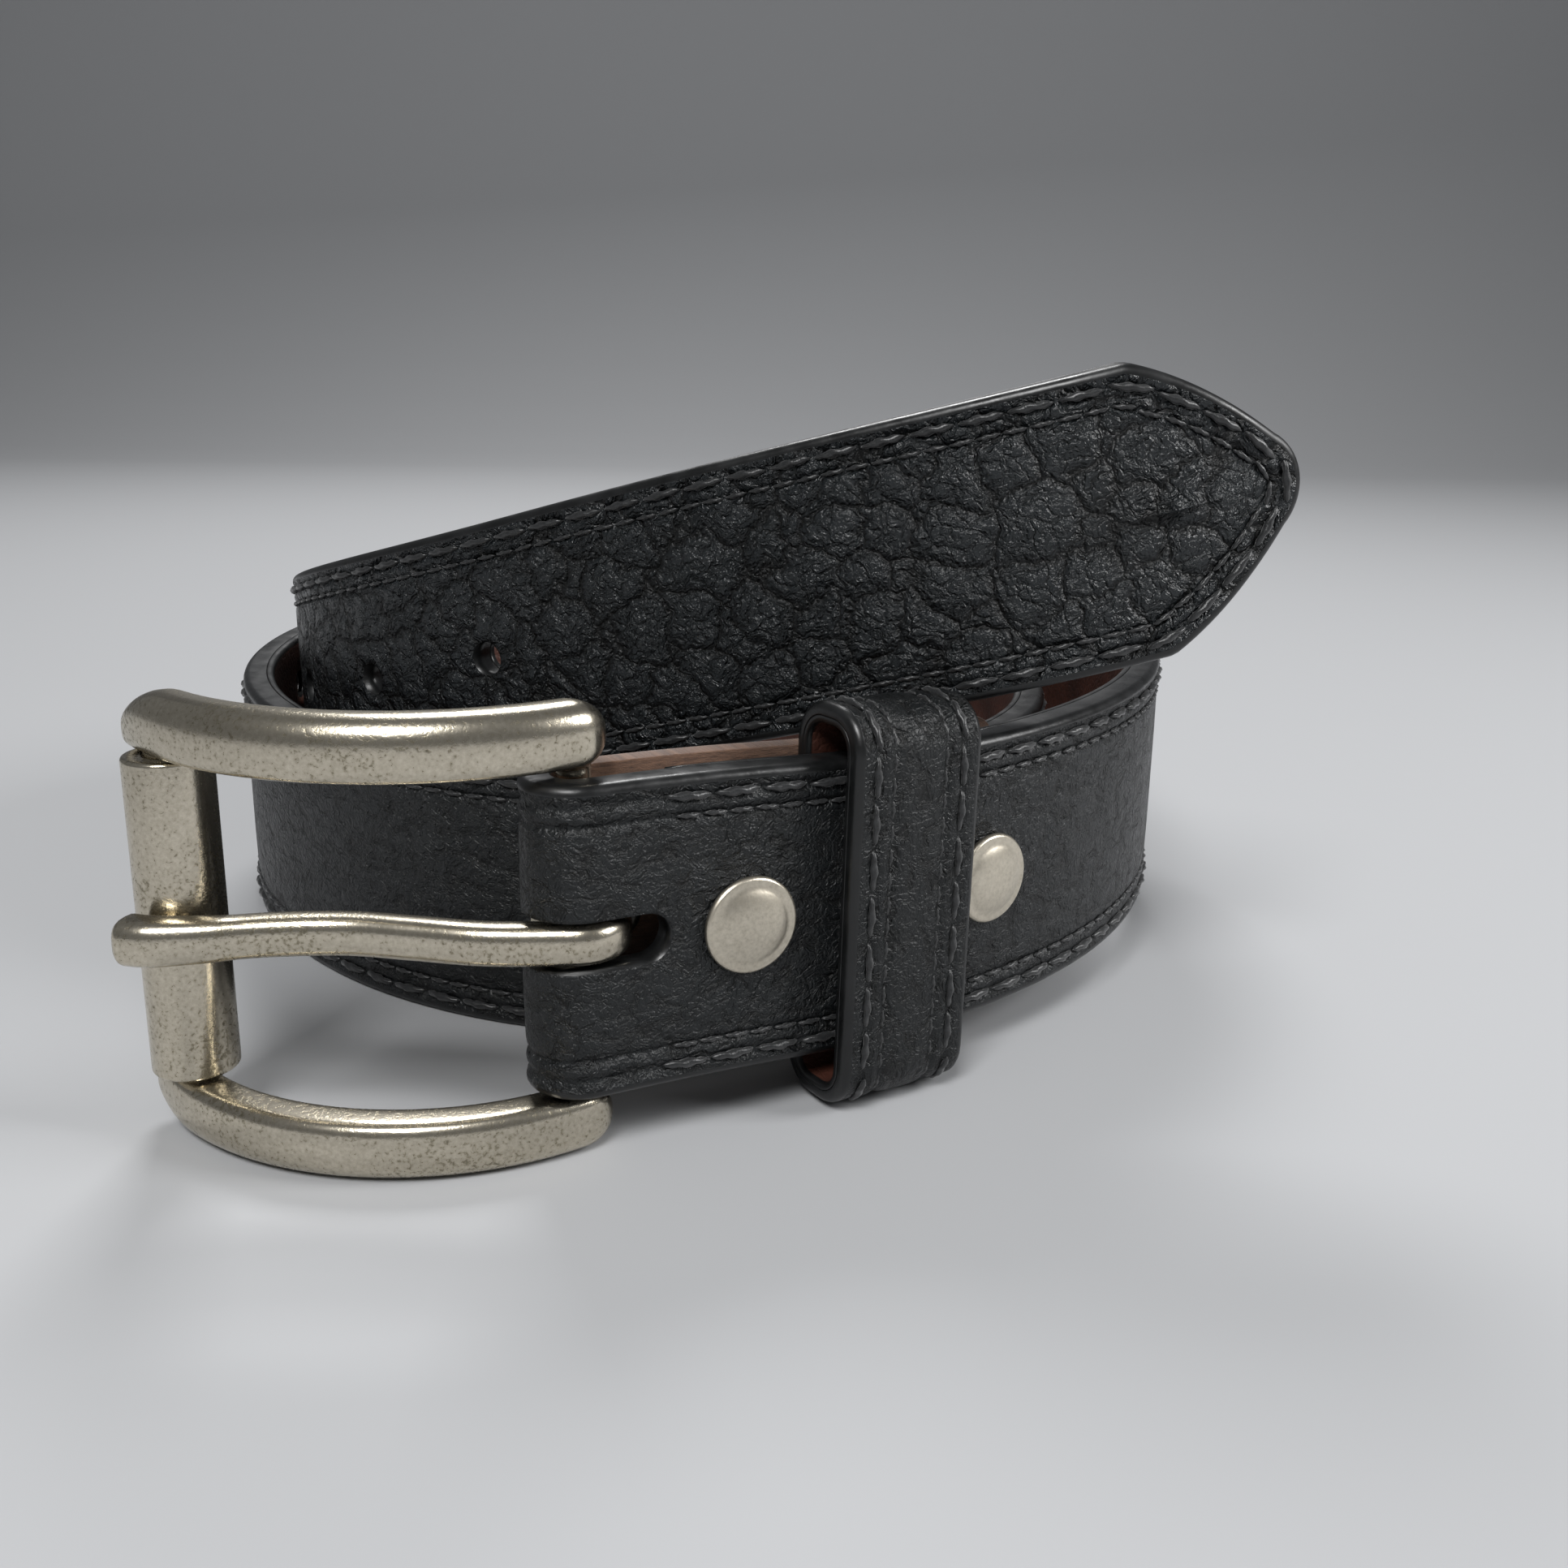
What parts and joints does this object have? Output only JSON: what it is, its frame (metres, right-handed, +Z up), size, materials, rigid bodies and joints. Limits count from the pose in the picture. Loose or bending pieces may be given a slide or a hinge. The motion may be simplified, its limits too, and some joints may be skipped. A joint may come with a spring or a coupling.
{
  "type": "leather dress belt",
  "caption": "Black pebble-grain leather dress belt, 38 mm wide, with an antique nickel heel-bar roller buckle, keeper and two press fasteners, standing on edge in a loose coil.",
  "frame": {"origin": "centre of the belt's footprint, on the surface it stands on", "axes": "+Z up, -Y towards the side where the buckle lies, +X from the buckle towards the keeper"},
  "size_m": [0.16, 0.192, 0.0912],
  "materials": {
    "grain_leather": "satin",
    "lining_leather": "satin",
    "sewing_thread": "satin",
    "antique_nickel": "satin",
    "nickel": "satin"
  },
  "bodies": {
    "strap": {"strap_top_leather": "grain_leather", "strap_lining": "lining_leather", "outer_seam_thread": "sewing_thread", "inner_seam_thread": "sewing_thread", "front_snap_cap": "nickel", "front_snap_socket": "nickel", "front_snap_spring": "nickel", "front_snap_stud": "nickel", "front_snap_eyelet": "nickel", "rear_snap_cap": "nickel", "rear_snap_socket": "nickel", "rear_snap_spring": "nickel", "rear_snap_stud": "nickel", "rear_snap_eyelet": "nickel"},
    "keeper": {"keeper_leather": "grain_leather", "keeper_lining": "lining_leather", "keeper_outer_seams": "sewing_thread", "keeper_inner_seams": "sewing_thread", "keeper_staple": "nickel"},
    "buckle": {"buckle_frame": "antique_nickel", "roller_axle": "antique_nickel"},
    "roller": {"roller": "antique_nickel"},
    "prong": {"prong": "antique_nickel"}
  },
  "joints": [
    {"name": "buckle_pivot", "type": "hinge", "parent": "strap", "child": "buckle", "pos_m": [-0.00971, -0.08381, 0.027], "axis": [0, 0, 1], "range_deg": [-25, 45]},
    {"name": "roller_spin", "type": "hinge", "parent": "buckle", "child": "roller", "pos_m": [-0.05652, -0.08127, 0.0274], "axis": [0, 0, 1], "continuous": true},
    {"name": "prong_pivot", "type": "hinge", "parent": "buckle", "child": "prong", "pos_m": [-0.00971, -0.08381, 0.027], "axis": [0, 0, 1], "range_deg": [0, 85]},
    {"name": "keeper_slide", "type": "slide", "parent": "strap", "child": "keeper", "axis": [0.8331, 0.5526, -0.0229], "range_m": [-0.004, 0.0007]}
  ]
}
